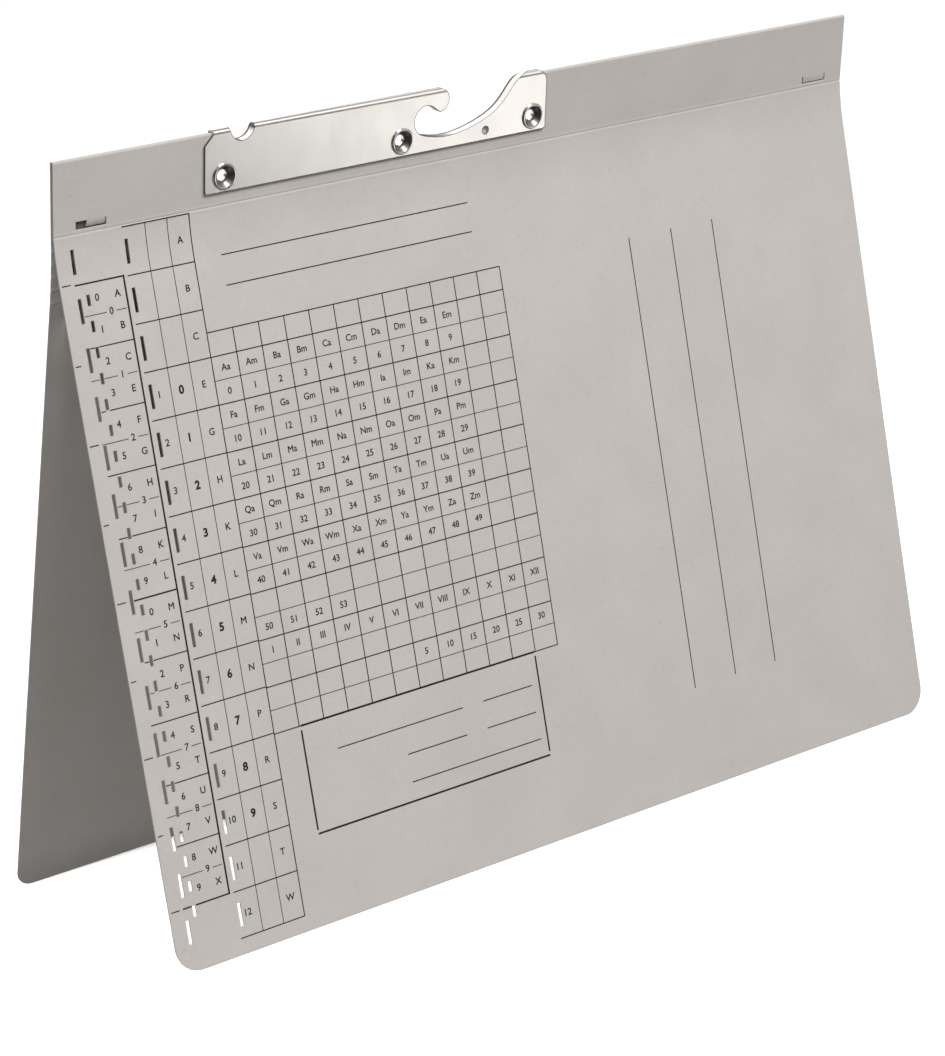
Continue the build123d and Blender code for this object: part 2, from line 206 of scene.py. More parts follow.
def board_finish(name, tone, cloud_tone, tooth_height, dark=board_dark_fibre, pale=board_pale_fibre):
    """Uncoated board: clouded tone, pulp speckle, curled fibres and a fine tooth."""
    finish = bpy.data.materials.new(name)
    finish.use_nodes = True
    tree = finish.node_tree
    surface = tree.nodes["Principled BSDF"]
    fibre = wire(
        tree, "ShaderNodeGroup",
        {"Tone": tone, "Cloud": cloud_tone, "Dark Fibre": dark, "Pale Fibre": pale},
        node_tree=board_fibre,
    )
    bump = wire(tree, "ShaderNodeBump", {"Distance": tooth_height, "Height": fibre.outputs["Height"]})
    tree.links.new(fibre.outputs["Color"], surface.inputs["Base Color"])
    tree.links.new(fibre.outputs["Roughness"], surface.inputs["Roughness"])
    tree.links.new(bump.outputs["Normal"], surface.inputs["Normal"])
    surface.inputs["Specular IOR Level"].default_value = board_gloss
    return finish


board = board_finish("grey_board", board_tone, board_cloud, board_tooth)
board_edge = board_finish("board_cut_edge", edge_tone, edge_cloud, edge_tooth)
# The dark board between the strip's layers is painted shade
painted_shade_board = board_finish("painted_shade_board", painted_shade_tone, painted_shade_cloud, board_tooth)


def copy_outline(node):
    """The CAD piece as clean polygons: welded, with its flat faces joined up again."""
    shape = bmesh.new()
    shape.from_mesh(frame["nodes"][node].data)
    bmesh.ops.remove_doubles(shape, verts=shape.verts, dist=weld_distance)
    bmesh.ops.dissolve_limit(shape, angle_limit=flat_angle, verts=shape.verts, edges=shape.edges)
    return shape


def cut_across(shape, point, across):
    """Adds a line of edges where the plane through the point meets the shape."""
    bmesh.ops.bisect_plane(
        shape, geom=shape.verts[:] + shape.edges[:] + shape.faces[:], dist=weld_distance,
        plane_co=point, plane_no=across,
    )


def make_piece(shape, name, finishes):
    """Turns a drawn shape into a piece of the scene, with its finishes in their order."""
    mesh = bpy.data.meshes.new(name)
    shape.to_mesh(mesh)
    shape.free()
    for finish in finishes:
        mesh.materials.append(finish)
    piece = bpy.data.objects.new(name, mesh)
    bpy.context.collection.objects.link(piece)
    return piece


def finish_copy(shape, name, node, body, edge_round, finishes):
    """Rounds the sharp edges, and sets the copy in the CAD piece's place."""
    corners = [edge for edge in shape.edges if edge.is_manifold and edge.calc_face_angle() > corner_angle]
    bmesh.ops.bevel(
        shape, geom=corners, offset=edge_round, offset_type="OFFSET", segments=round_segments, profile=0.5,
        affect="EDGES", clamp_overlap=True,
    )
    for face in shape.faces:
        face.smooth = True
    piece = make_piece(shape, name, finishes)
    piece.modifiers.new("even_shading", "WEIGHTED_NORMAL")
    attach(piece, body)
    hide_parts(node)


def mark_cut_edges(shape, outward):
    """Faces across the board's thickness get the second finish, that of a cut edge."""
    for face in shape.faces:
        across = abs(face.normal.dot(outward)) < cut_edge_facing and face.normal.z < fold_top_facing
        face.material_index = int(across)


strip = copy_outline("spine_strip")
mark_cut_edges(strip, spine_out)
# A dark tone painted as shade on the faces between the layers shows through the slots, and stops a little short of
# the strip's ends
for painted_shade_end in (-painted_shade_reach, painted_shade_reach):
    cut_across(strip, (painted_shade_end, 0, 0), (1, 0, 0))
strip_front = max(vertex.co.dot(spine_out) for vertex in strip.verts)
for face in strip.faces:
    middle = face.calc_center_median()
    sunk = strip_front - middle.dot(spine_out)
    between_layers = face.normal.dot(spine_out) > layer_facing and sunk > painted_shade_depth
    if between_layers and abs(middle.x) < painted_shade_reach:
        face.material_index = 2
finish_copy(
    strip, "spine_strip_board", "spine_strip", "spine", cut_edge_round,
    [board, board_edge, painted_shade_board],
)

# Slot flaps
# The die cuts each slot of the strip on three sides only, so a tongue of board stays joined along its top.
# Each is pressed in a little, the left one further, and the painted shade between the layers shows round it.
slot_length = 10.6 * mm
slot_height = 2.5 * mm
flap_thickness = 0.42 * mm
flap_foot_gap = 0.38 * mm
flap_steps = 6
mounts = {mount["name"]: mount for mount in frame["record"]["mounts"]}


def skin_rings(shape, rings):
    """Walls from each ring of points to the next, each with its place round the ring."""
    walls = []
    for ring, following in zip(rings, rings[1:]):
        for index in range(len(ring)):
            after = (index + 1) % len(ring)
            wall = shape.faces.new((ring[index], ring[after], following[after], following[index]))
            walls.append((index, wall))
    return walls


def press_flap(side, left_gap, right_gap, left_press, right_press):
    """One tongue, by the gaps at its ends and how deep its lower corners are pressed, all in metres."""
    middle = Vector(mounts[f"tab_slot_{side}"]["pos_m"])
    left = (left_gap - slot_length / 2, left_press)
    right = (slot_length / 2 - right_gap, right_press)
    flap = bmesh.new()
    rings = []
    for step in range(flap_steps + 1):
        share = step / flap_steps
        rise = slot_height / 2 - share * (slot_height - flap_foot_gap)
        ring = []
        for (reach, press), layer in ((left, 0), (right, 0), (right, 1), (left, 1)):
            sunk = press * share ** 2 + layer * flap_thickness
            corner = middle + Vector((reach, 0, 0)) + rise * strip_up - sunk * spine_out
            ring.append(flap.verts.new(corner))
        rings.append(ring)
    for index, wall in skin_rings(flap, rings):
        wall.material_index = index % 2
    for ring in (rings[0], rings[-1]):
        flap.faces.new(ring).material_index = 1
    bmesh.ops.recalc_face_normals(flap, faces=flap.faces)
    piece = make_piece(flap, f"slot_flap_{side}", [board, board_edge])
    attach(piece, "spine")


press_flap(
    "left", left_gap=3.90 * mm, right_gap=0.40 * mm, left_press=0.60 * mm, right_press=0.56 * mm
)
press_flap(
    "right", left_gap=0.60 * mm, right_gap=0.42 * mm, left_press=0.24 * mm, right_press=0.20 * mm
)

# Front cover
# The printed half of the same sheet. Under its crease the board curves away from the spine, then runs flat.
# Three columns of slits for index riders are die-cut along its left edge, and its lower corners are round.
board_thickness = 0.45 * mm
crease_setback = 0.15 * mm
bend_radius = 85 * mm
crease_tilt = radians(2.0)
front_tilt = radians(11.6)
bend_steps = 12
hinges = [joint for joint in frame["joints"] if joint["type"] == "hinge"]
fold_lines = {hinge["name"]: Vector(hinge["pos_m"]) for hinge in hinges}
crease = fold_lines["front_crease"]


def front_down(tilt):
    """The way down the front cover, where it has this tilt."""
    return Vector((0, -sin(tilt), -cos(tilt)))


def front_out(tilt):
    """The way out of the front cover's printed face, where it has this tilt."""
    return Vector((0, -cos(tilt), sin(tilt)))


bend_start = crease + crease_setback * front_down(crease_tilt)
bend_centre = bend_start + bend_radius * front_out(crease_tilt)
bend_length = bend_radius * (front_tilt - crease_tilt)
bend_end = bend_centre - bend_radius * front_out(front_tilt)

cover = copy_outline("front_cover")
# The CAD cover's bend has few faces: it is cut into finer steps, which are moved onto the true curve
for step in range(1, bend_steps):
    step_tilt = crease_tilt + (front_tilt - crease_tilt) * step / bend_steps
    cut_across(cover, bend_centre, front_down(step_tilt))
for vertex in cover.verts:
    spoke = Vector((0, vertex.co.y - bend_centre.y, vertex.co.z - bend_centre.z))
    in_bend = spoke.dot(front_down(crease_tilt)) > 0 > spoke.dot(front_down(front_tilt))
    if in_bend:
        outside = spoke.length < bend_radius + board_thickness / 2
        reach = bend_radius if outside else bend_radius + board_thickness
        rounded = bend_centre + spoke.normalized() * reach
        vertex.co = Vector((vertex.co.x, rounded.y, rounded.z))
cover.normal_update()
mark_cut_edges(cover, front_out(front_tilt))
finish_copy(
    cover, "front_cover_board", "front_cover", "front_cover", cut_edge_round, [board, board_edge]
)

# Front crease
# The hinge of the cover: a line pressed into the sheet between the strip and the cover.
# The press leaves a narrow groove outside, a lip of stretched, paler fibres under it, and a bead inside.
fold_tone = (0.535, 0.505, 0.480, 1.0)
fold_cloud = (0.505, 0.475, 0.450, 1.0)
fold_tooth = 0.03 * mm
fold_end_gap = 0.06 * mm
crease_groove = 0.17
crease_groove_place = -0.02
crease_groove_width = 0.20
crease_lip = 0.026
crease_lip_place = 0.55
crease_lip_width = 0.45
fold_film = 0.012
fold_half = 1.10
fold_steps = 40
fold_edge = 0.08
crease_inside = (
    (1.20, -0.37), (0.85, -0.48), (0.45, -0.58), (0.0, -0.64),
    (-0.45, -0.58), (-0.85, -0.48), (-1.20, -0.37),
)
board_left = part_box("front_cover")[0][0] + fold_end_gap
board_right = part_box("front_cover")[1][0] - fold_end_gap
pressed_board = board_finish("pressed_board", fold_tone, fold_cloud, fold_tooth)


def press_fold(name, line, upper, lower, outline):
    """A narrow band of board across a fold line. Each outline point goes down and out, in millimetres."""
    band = bmesh.new()
    ends = []
    for x in (board_left, board_right):
        ring = []
        for down, out in outline:
            heading, facing = upper if down < 0 else lower
            point = line + down * mm * heading + out * mm * facing
            ring.append(band.verts.new((x, point.y, point.z)))
        ends.append(ring)
    for index, wall in skin_rings(band, ends):
        wall.smooth = True
    for ring in ends:
        for edge in band.faces.new(ring).edges:
            edge.smooth = False
    bmesh.ops.recalc_face_normals(band, faces=band.faces)
    piece = make_piece(band, name, [pressed_board])
    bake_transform(piece)


def ridge(down, place, width, height):
    """A rounded ridge, or a groove when its height is below zero, all in millimetres."""
    return height * exp(-(((down - place) / width) ** 2))


crease_outside = [(-fold_half - fold_edge, -fold_edge)]
for step in range(fold_steps + 1):
    down = fold_half * (2 * step / fold_steps - 1)
    groove = ridge(down, crease_groove_place, crease_groove_width, -crease_groove)
    lip = ridge(down, crease_lip_place, crease_lip_width, crease_lip)
    crease_outside.append((down, fold_film + groove + lip))
crease_outside.append((fold_half + fold_edge, -fold_edge))
press_fold(
    "front_crease_fold", crease, (-strip_up, spine_out), (front_down(crease_tilt), front_out(crease_tilt)),
    crease_outside + list(crease_inside),
)

# Back slats and back cover
# The plain half of the sheet. Just under the spine it is scored into four narrow slats, which let a thick
# stack of paper open the back; below them the board runs flat to its rounded lower corners.
back_tilt = radians(11.9)
score_count = 5
score_bend = back_tilt - spine_lean
score_tilts = [spine_lean + score_bend * step / score_count for step in range(score_count + 1)]
back_bodies = ["spine"] + [f"back_slat_{number}" for number in range(1, score_count)] + ["back_cover"]


def back_down(tilt):
    """The way down a panel of the back with this tilt."""
    return Vector((0, sin(tilt), -cos(tilt)))


def back_out(tilt):
    """The way out of the outer face of a panel of the back with this tilt."""
    return Vector((0, cos(tilt), sin(tilt)))


for panel, tilt in zip(back_bodies[1:], score_tilts[1:]):
    leaf = copy_outline(panel)
    mark_cut_edges(leaf, back_out(tilt))
    finish_copy(leaf, f"{panel}_board", panel, panel, cut_edge_round, [board, board_edge])

# Back scores
# Five lines pressed from behind, on which the slats turn against each other.
# Each is a shallow groove behind and a rounded bead inside the folder, where the light catches it.
score_outside = (
    (-0.95, -0.08), (-0.75, 0.012), (-0.45, 0.030), (-0.22, -0.06), (0.0, -0.14),
    (0.22, -0.06), (0.45, 0.030), (0.75, 0.012), (0.95, -0.08),
)
score_inside = (
    (0.95, -0.37), (0.85, -0.46), (0.62, -0.65), (0.34, -0.87), (0.0, -0.96),
    (-0.34, -0.87), (-0.62, -0.65), (-0.85, -0.46), (-0.95, -0.37),
)
for number in range(1, score_count + 1):
    upper_tilt = score_tilts[number - 1]
    lower_tilt = score_tilts[number]
    press_fold(
        f"back_score_{number}_fold", fold_lines[f"back_score_{number}"],
        (back_down(upper_tilt), back_out(upper_tilt)), (back_down(lower_tilt), back_out(lower_tilt)),
        score_outside + score_inside,
    )

# Printed rules
# The form on the front cover: a table, a narrow index along the slits, a grid, a box and ruled lines.
# They are printed in dark ink on the flat sheet before it is die-cut and folded.
ink_tone = (0.016, 0.014, 0.013, 1.0)
ink_cloud = (0.028, 0.025, 0.023, 1.0)
ink_speck = (0.020, 0.018, 0.016, 1.0)
ink_bare_fibre = (0.110, 0.102, 0.096, 1.0)
ink_film = 0.025 * mm
ink_sink = 0.015 * mm
lip_depth = 1.25 * mm
lip_film = 0.09 * mm
# From here the places are in millimetres, x from the sheet's middle and the drop from the crease
thin_rule = 0.24
plain_rule = 0.36
thick_rule = 0.62
index_rule = 0.8 * thick_rule
table_left = -135.7
table_columns = (-127.5, -119.7)
table_right = -111.8
table_rows = 15
table_top = 0.55
table_pitch = 14.36
index_left = -154.0
index_right = -137.1
index_top = 14.6
index_rows = 20
index_pitch = 9.34
index_gap = (-144.8, -141.4)
index_rule_end = 0.8
tick_left = -158.3
tick_top = 14.2
tick_pitch = 23.4
tick_count = 9
long_tick = 3.1
short_tick = 1.9
name_left = -102.1
name_right = -7.4
name_drops = (14.6, 23.75)
grid_columns = 12
grid_column = 9.425
grid_top = 36.3
grid_first_row = 43.65
grid_rows = 8
grid_row = 14.41
box_left = -101.8
box_right = -8.5
box_top = 160.3
box_bottom = 191.7
box_foot_gap = 1.2
box_lines = {
    169.2: ((-89.7, -40.1), (-31.8, -11.6)),
    178.0: ((-63.9, -40.1), (-31.8, -11.6)),
    186.9: ((-63.9, -11.2),),
}
side_columns = (56.2, 74.6, 93.0)
side_top = 36.7
side_foot = 187.3
slit_room = 0.75
slit_columns = (
    {"x": -153.2, "first": 7.9, "pitch": 14.35, "count": 15, "length": 7.3},
    {"x": -150.1, "first": 19.5, "pitch": 7.65, "count": 25, "length": 3.3},
)
ink = board_finish("printed_ink", ink_tone, ink_cloud, board_tooth, ink_speck, ink_bare_fibre)


def on_cover(x, drop, lift):
    """A point over the cover's outer face by its place on the flat sheet, all in metres."""
    turn = min(max(drop - crease_setback, 0.0), bend_length) / bend_radius
    tilt = crease_tilt + turn
    point = bend_centre - bend_radius * front_out(tilt)
    if drop < crease_setback:
        point = crease + drop * front_down(crease_tilt)
    if drop > crease_setback + bend_length:
        point = bend_end + (drop - crease_setback - bend_length) * front_down(front_tilt)
    point = point + lift * front_out(tilt)
    return Vector((x, point.y, point.z))


def print_rule(form, x0, drop0, x1, drop1, width):
    """One ruled line between two places on the sheet, as a film of ink with closed sides."""
    upright = abs(drop1 - drop0) > abs(x1 - x0)
    stations = [(x0, drop0), (x1, drop1)]
    if upright:
        bend_drops = [bend_length / mm * step / bend_steps for step in range(1, bend_steps + 2)]
        stations[1:1] = [(x0, drop) for drop in bend_drops if drop0 < drop < drop1]
    aside = (width / 2, 0.0) if upright else (0.0, width / 2)
    rings = []
    for x, drop in stations:
        film = lip_film if drop * mm < lip_depth else ink_film
        ring = []
        for side, lift in ((-1, -ink_sink), (1, -ink_sink), (1, film), (-1, film)):
            spot = on_cover((x + side * aside[0]) * mm, (drop + side * aside[1]) * mm, lift)
            ring.append(form.verts.new(spot))
        rings.append(ring)
    skin_rings(form, rings)
    form.faces.new(rings[0])
    form.faces.new(rings[-1])


def print_across(form, x0, x1, drop, width):
    print_rule(form, x0, drop, x1, drop, width)


def print_down(form, x, drop0, drop1, width):
    print_rule(form, x, drop0, x, drop1, width)


def print_index_rule(form, x0, x1, drop, width):
    """A rule of the narrow index, left out where a slit is cut through it."""
    starts = [x0]
    stops = []
    for slits in slit_columns:
        number = round((drop - slits["first"]) / slits["pitch"])
        nearest = slits["first"] + slits["pitch"] * min(max(number, 0), slits["count"] - 1)
        if abs(drop - nearest) < slits["length"] / 2 + width and x0 < slits["x"] < x1:
            stops.append(slits["x"] - slit_room)
            starts.append(slits["x"] + slit_room)
    stops.append(x1)
    for start, stop in zip(starts, stops):
        if stop > start:
            print_across(form, start, stop, drop, width)


rules = bmesh.new()
table_foot = table_top + table_rows * table_pitch
for row in range(table_rows + 1):
    print_across(rules, table_left, table_right, table_top + row * table_pitch, plain_rule)
for column_x in table_columns:
    print_down(rules, column_x, table_top, table_foot, thin_rule)
print_down(rules, table_right, table_top, table_foot, plain_rule)

index_foot = index_top + index_rows * index_pitch
print_down(rules, index_right, index_top - thick_rule / 2, index_foot + thick_rule / 2, thick_rule)
for row in range(index_rows + 1):
    row_drop = index_top + row * index_pitch
    if row % (index_rows // 2) == 0:
        print_index_rule(rules, index_left, index_right, row_drop, index_rule)
    elif row % 2 == 0:
        print_index_rule(rules, index_left, index_right, row_drop, plain_rule)
    else:
        print_index_rule(rules, index_left, index_gap[0], row_drop, thin_rule)
        print_index_rule(rules, index_gap[1], index_right - index_rule_end, row_drop, thin_rule)
for tick in range(tick_count):
    tick_length = short_tick if tick % 2 else long_tick
    print_across(rules, tick_left, tick_length + tick_left, tick_top + tick_pitch * tick, plain_rule)

for name_drop in name_drops:
    print_across(rules, name_left, name_right, name_drop, plain_rule)

grid_left = table_right
grid_right = grid_left + grid_columns * grid_column
grid_foot = grid_first_row + grid_rows * grid_row
for column in range(1, grid_columns + 1):
    print_down(rules, grid_left + column * grid_column, grid_top, grid_foot, plain_rule)
print_across(rules, grid_left, grid_right, grid_top, plain_rule)
for row in range(grid_rows + 1):
    row_drop = grid_first_row + row * grid_row
    print_across(rules, grid_left, grid_right, row_drop, plain_rule)
    if row < grid_rows:
        print_across(rules, grid_left, grid_right, row_drop + grid_row / 2, thin_rule)

print_across(rules, box_left, box_right, grid_foot, thick_rule)
print_down(rules, box_left, box_top, box_bottom, thick_rule)
print_down(rules, box_right, box_top, box_bottom, thick_rule)
print_across(rules, box_left, box_right, box_bottom + box_foot_gap, thick_rule)
for line_drop, stretches in box_lines.items():
    for line_start, line_stop in stretches:
        print_across(rules, line_start, line_stop, line_drop, plain_rule)
for column_x in side_columns:
    print_down(rules, column_x, side_top, side_foot, plain_rule)


def lay_print(form, name):
    """Puts a finished form of ink on the front cover."""
    bmesh.ops.recalc_face_normals(form, faces=form.faces)
    piece = make_piece(form, name, [ink])
    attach(piece, "front_cover")


lay_print(rules, "printed_rules")

# Printed index
# Numbers and letters of the form, in the same ink: running numbers, Roman months and index letters.
# They are set in a plain sans letter, heavier in the second column of the table.
letter_height = 2.1
bold_height = 2.5
grid_height = 2.05
plain_weight = 0.017
bold_weight = 0.040
letter_steps = 3
table_number_x = -131.8
table_bold_x = -123.9
table_letter_x = -115.8
table_numbered_from = 3
table_bold_rows = range(table_numbered_from, 13)
table_letters = "ABCEGHKLMNPRSTW"
index_number_x = -147.2
index_letter_x = -140.1
index_pair_x = -143.1
index_raise = 0.2
index_letters = "ABCEFGHIKLMNPRSTUVWX"
syllable_rows = 5
number_columns = 10
number_count = 54
grid_letters = "ABCDEFGHIKLMNOPQRSTUVWXYZ"
months = ("I", "II", "III", "IV", "V", "VI", "VII", "VIII", "IX", "X", "XI", "XII")
month_row = 6.25
day_step = 5
day_first_column = 6


def set_letters(text, size, weight, thickness):
    """The letters as a mesh of closed solids, lying in the sheet's plane and centred on it."""
    words = bpy.data.curves.new("letters", "FONT")
    words.body = text
    words.size = size
    words.bevel_depth = weight * size
    words.bevel_resolution = 0
    words.extrude = thickness / 2
    words.resolution_u = letter_steps
    words.align_x = "CENTER"
    words.align_y = "CENTER"
    holder = bpy.data.objects.new("letters", words)
    mesh = bpy.data.meshes.new_from_object(holder)
    bpy.data.objects.remove(holder)
    bpy.data.curves.remove(words)
    return mesh


sample_heights = [vertex.co.y for vertex in set_letters("0", 1.0, 0.0, 0.0).vertices]
size_of_height = 1.0 / (max(sample_heights) - min(sample_heights))
middle_of_size = (min(sample_heights) + max(sample_heights)) / 2


def print_mark(form, text, x, drop, height, weight=plain_weight):
    """Prints one number or letter, its middle at a place on the sheet in millimetres."""
    size = height * size_of_height * mm
    mesh = set_letters(text, size, weight, ink_film + ink_sink)
    middle = middle_of_size * size
    half_film = (ink_film + ink_sink) / 2
    for vertex in mesh.vertices:
        lift = min(max(vertex.co.z, -half_film), half_film) + (ink_film - ink_sink) / 2
        vertex.co = on_cover(x * mm + vertex.co.x, drop * mm - (vertex.co.y - middle), lift)
    form.from_mesh(mesh)
    bpy.data.meshes.remove(mesh)


marks = bmesh.new()
for row in range(table_rows):
    row_drop = table_top + (row + 0.5) * table_pitch
    if row >= table_numbered_from:
        print_mark(marks, str(row - table_numbered_from + 1), table_number_x, row_drop, letter_height)
    if row in table_bold_rows:
        print_mark(marks, str(row - table_numbered_from), table_bold_x, row_drop, bold_height, bold_weight)
    print_mark(marks, table_letters[row], table_letter_x, row_drop, letter_height)
for row in range(index_rows):
    row_drop = index_top + (row + 0.5) * index_pitch - index_raise
    print_mark(marks, str(row % (index_rows // 2)), index_number_x, row_drop, letter_height)
    print_mark(marks, index_letters[row], index_letter_x, row_drop, letter_height)
    if row % 2 == 0:
        pair_drop = index_top + (row + 1) * index_pitch - index_raise
        print_mark(marks, str(row // 2), index_pair_x, pair_drop, letter_height)
for row in range(syllable_rows + 1):
    for column in range(number_columns):
        cell_x = grid_left + (column + 0.5) * grid_column
        number = number_columns * row + column
        upper_drop = grid_first_row + row * grid_row + grid_row / 4
        if row < syllable_rows:
            syllable = grid_letters[number // 2] + ("a", "m")[number % 2]
            print_mark(marks, syllable, cell_x, upper_drop, grid_height)
        if number < number_count:
            print_mark(marks, str(number), cell_x, upper_drop + grid_row / 2, grid_height)
for column in range(grid_columns):
    cell_x = grid_left + (column + 0.5) * grid_column
    month_drop = grid_first_row + month_row * grid_row
    print_mark(marks, months[column], cell_x, month_drop, grid_height)
    if column >= day_first_column:
        day = day_step * (column - day_first_column + 1)
        print_mark(marks, str(day), cell_x, month_drop + grid_row, grid_height)
lay_print(marks, "printed_index")

# Hanger
# A blank of bright plated sheet steel, pierced with its hook, notch and rivet holes, folded over the strip.
# The rolling grain runs down the plate, handling leaves faint smears in it, and its sheared edges are dull,
# darkened further with painted shade on the sides that face away from the light.
hanger_tone = (0.840, 0.805, 0.769, 1.0)
hanger_stain = (0.752, 0.720, 0.687, 1.0)
hanger_roughness = (0.26, 0.38)
# The sheared finish is partly the dull steel of the cut and partly painted shade on the edges turned from the
# light
sheared_and_shaded_tone = (0.160, 0.155, 0.150, 1.0)
sheared_and_shaded_stain = (0.090, 0.086, 0.082, 1.0)
sheared_roughness = (0.45, 0.60)
hanger_edge_round = 0.10 * mm
hanger_grain = 0.004 * mm
hanger_shoulder = 3 * mm
rollover_shade_width = 0.22 * mm
fracture_depth = 0.8 * mm
fold_slack = 0.01
lower_edge_facing = -0.9
left_edge_facing = -0.5
finger_down = -0.3
finger_left = -0.2
right_facing = 0.05
grain_stretch = (1.0, 1.0, 0.06)
grain_scale = 2600.0
streak_scale = 420.0
streak_share = 0.35
streak_rise = 2.0
smear_scale = 60.0
smear_edge = (0.30, 0.75)
smear_share = 0.30
wave_scale = 55.0
wave_rise = 7.0

rolled_steel, steel_given = open_group(
    "rolled_steel",
    {"Tone": colour_socket, "Stain": colour_socket, "Smooth": value_socket, "Rough": value_socket},
    {"Color": colour_socket, "Roughness": value_socket, "Height": value_socket},
)
steel_place = wire(rolled_steel, "ShaderNodeTexCoord", {}).outputs["Object"]
stretched = wire(rolled_steel, "ShaderNodeMapping", {"Vector": steel_place, "Scale": grain_stretch})
along_grain = stretched.outputs[0]
grain = noise(rolled_steel, along_grain, grain_scale, 3.0)
streak = noise(rolled_steel, along_grain, streak_scale, 2.0)
smear = noise(rolled_steel, steel_place, smear_scale, 2.0, Distortion=0.3)
wave = noise(rolled_steel, steel_place, wave_scale, 1.0)
smeared = reckon(rolled_steel, "MULTIPLY", span(rolled_steel, smear, *smear_edge), smear_share)
streaked = reckon(rolled_steel, "MULTIPLY", streak, streak_share)
worn = reckon(rolled_steel, "ADD", smeared, streaked)
rough_step = reckon(rolled_steel, "SUBTRACT", steel_given["Rough"], steel_given["Smooth"])
rougher = reckon(rolled_steel, "MULTIPLY", worn, rough_step)
steel_height = reckon(rolled_steel, "ADD", grain, reckon(rolled_steel, "MULTIPLY", streak, streak_rise))
steel_height = reckon(rolled_steel, "ADD", steel_height, reckon(rolled_steel, "MULTIPLY", wave, wave_rise))
wire(
    rolled_steel, "NodeGroupOutput",
    {
        "Color": mix_colours(rolled_steel, worn, steel_given["Tone"], steel_given["Stain"]),
        "Roughness": reckon(rolled_steel, "ADD", steel_given["Smooth"], rougher),
        "Height": steel_height,
    },
)


def steel_finish(name, tone, stain, roughness, grain_height):
    """Bright metal with rolling grain, smears and a slight waviness."""
    finish = bpy.data.materials.new(name)
    finish.use_nodes = True
    tree = finish.node_tree
    surface = tree.nodes["Principled BSDF"]
    smooth, rough = roughness
    rolled = wire(
        tree, "ShaderNodeGroup", {"Tone": tone, "Stain": stain, "Smooth": smooth, "Rough": rough},
        node_tree=rolled_steel,
    )
    bump = wire(tree, "ShaderNodeBump", {"Distance": grain_height, "Height": rolled.outputs["Height"]})
    tree.links.new(rolled.outputs["Color"], surface.inputs["Base Color"])
    tree.links.new(rolled.outputs["Roughness"], surface.inputs["Roughness"])
    tree.links.new(bump.outputs["Normal"], surface.inputs["Normal"])
    surface.inputs["Metallic"].default_value = 1.0
    return finish


plated_steel = steel_finish("plated_steel", hanger_tone, hanger_stain, hanger_roughness, hanger_grain)
sheared_and_shaded_steel = steel_finish("sheared_and_shaded_steel", sheared_and_shaded_tone, sheared_and_shaded_stain, sheared_roughness, hanger_grain)
hanger = copy_outline("hanger")
hanger_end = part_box("hanger")[0][0] + hanger_shoulder
hanger_behind = max(-vertex.co.dot(spine_out) for vertex in hanger.verts)
cut_across(hanger, (fracture_depth - hanger_behind) * spine_out, spine_out)
# The outer skin of the plate, followed from its front over the fold to its back
skin = [max(hanger.faces, key=lambda face: face.calc_center_median().dot(spine_out))]
for face in skin:
    for edge in face.edges:
        for neighbour in edge.link_faces:
            around_fold = edge.calc_face_angle() < corner_angle and abs(neighbour.normal.x) < fold_slack
            if around_fold and neighbour not in skin:
                skin.append(neighbour)
# Dull, with painted shade, are the edges facing down and to the left, the finger's underside and the far part of
# the cuts, where the steel broke;
# the cuts that face right, which catch the light, are left bright
for face in hanger.faces:
    middle = face.calc_center_median()
    behind = -middle.dot(spine_out) > hanger_behind - fracture_depth
    shaded_lower_edge = face.normal.z < lower_edge_facing
    shaded_left_edge = middle.x < hanger_end and face.normal.x < left_edge_facing
    shaded_under_finger = face.normal.z < finger_down and face.normal.x < finger_left
    fractured_and_shaded = behind and face.normal.x < right_facing
    dull_or_shaded = shaded_lower_edge or shaded_left_edge or shaded_under_finger or fractured_and_shaded
    face.material_index = int(dull_or_shaded and face not in skin)
# The shears roll the outline of the front over; a thin rim of painted shade on the flat front stands for it
rollover_shade = bmesh.ops.inset_region(
    hanger, faces=skin, thickness=rollover_shade_width, use_boundary=True, use_even_offset=True
)
for face in rollover_shade["faces"]:
    face.material_index = 1
finish_copy(
    hanger, "hanger_plate", "hanger", "spine", hanger_edge_round,
    [plated_steel, sheared_and_shaded_steel],
)

# Rivets
# Three hollow rivets through the hanger and both layers of the strip, drawn from thin plated steel.
# The head is a bright, rolled rim round a dished throat, darkened with painted shade; behind, the tube is flared
# and rolled over.
rivet_tone = (0.640, 0.630, 0.610, 1.0)
rivet_stain = (0.480, 0.470, 0.450, 1.0)
rivet_roughness = (0.16, 0.30)
# The throat's dark tone is painted shade in the rivet's hollow
throat_shade_tone = (0.250, 0.245, 0.236, 1.0)
throat_shade_stain = (0.120, 0.117, 0.112, 1.0)
throat_roughness = (0.34, 0.48)
shaded_throat_points = range(6, 13)
rivet_grain = 0.002 * mm
rivet_sides = 72
rivet_eye_depth = 1.175 * mm
rivet_outline = (
    (-0.77, 4.16), (-0.91, 4.19), (-1.09, 4.08), (-1.21, 3.90), (-1.25, 3.68), (-1.22, 3.48),
    (-1.11, 3.28), (-0.91, 3.05), (-0.62, 2.75), (-0.30, 2.42), (0.00, 2.12), (0.26, 1.90),
    (0.55, 1.78), (0.90, 1.75), (1.83, 1.75), (2.09, 1.82), (2.35, 2.04), (2.57, 2.36),
    (2.68, 2.62), (2.63, 2.86), (2.47, 3.00), (2.28, 3.04), (2.26, 2.90), (2.25, 2.24),
    (1.40, 2.20), (0.90, 2.20), (0.05, 2.75), (-0.71, 3.27), (-0.76, 3.60),
)
rivet_steel = steel_finish("rivet_steel", rivet_tone, rivet_stain, rivet_roughness, rivet_grain)
shaded_throat_steel = steel_finish("shaded_throat_steel", throat_shade_tone, throat_shade_stain, throat_roughness, rivet_grain)


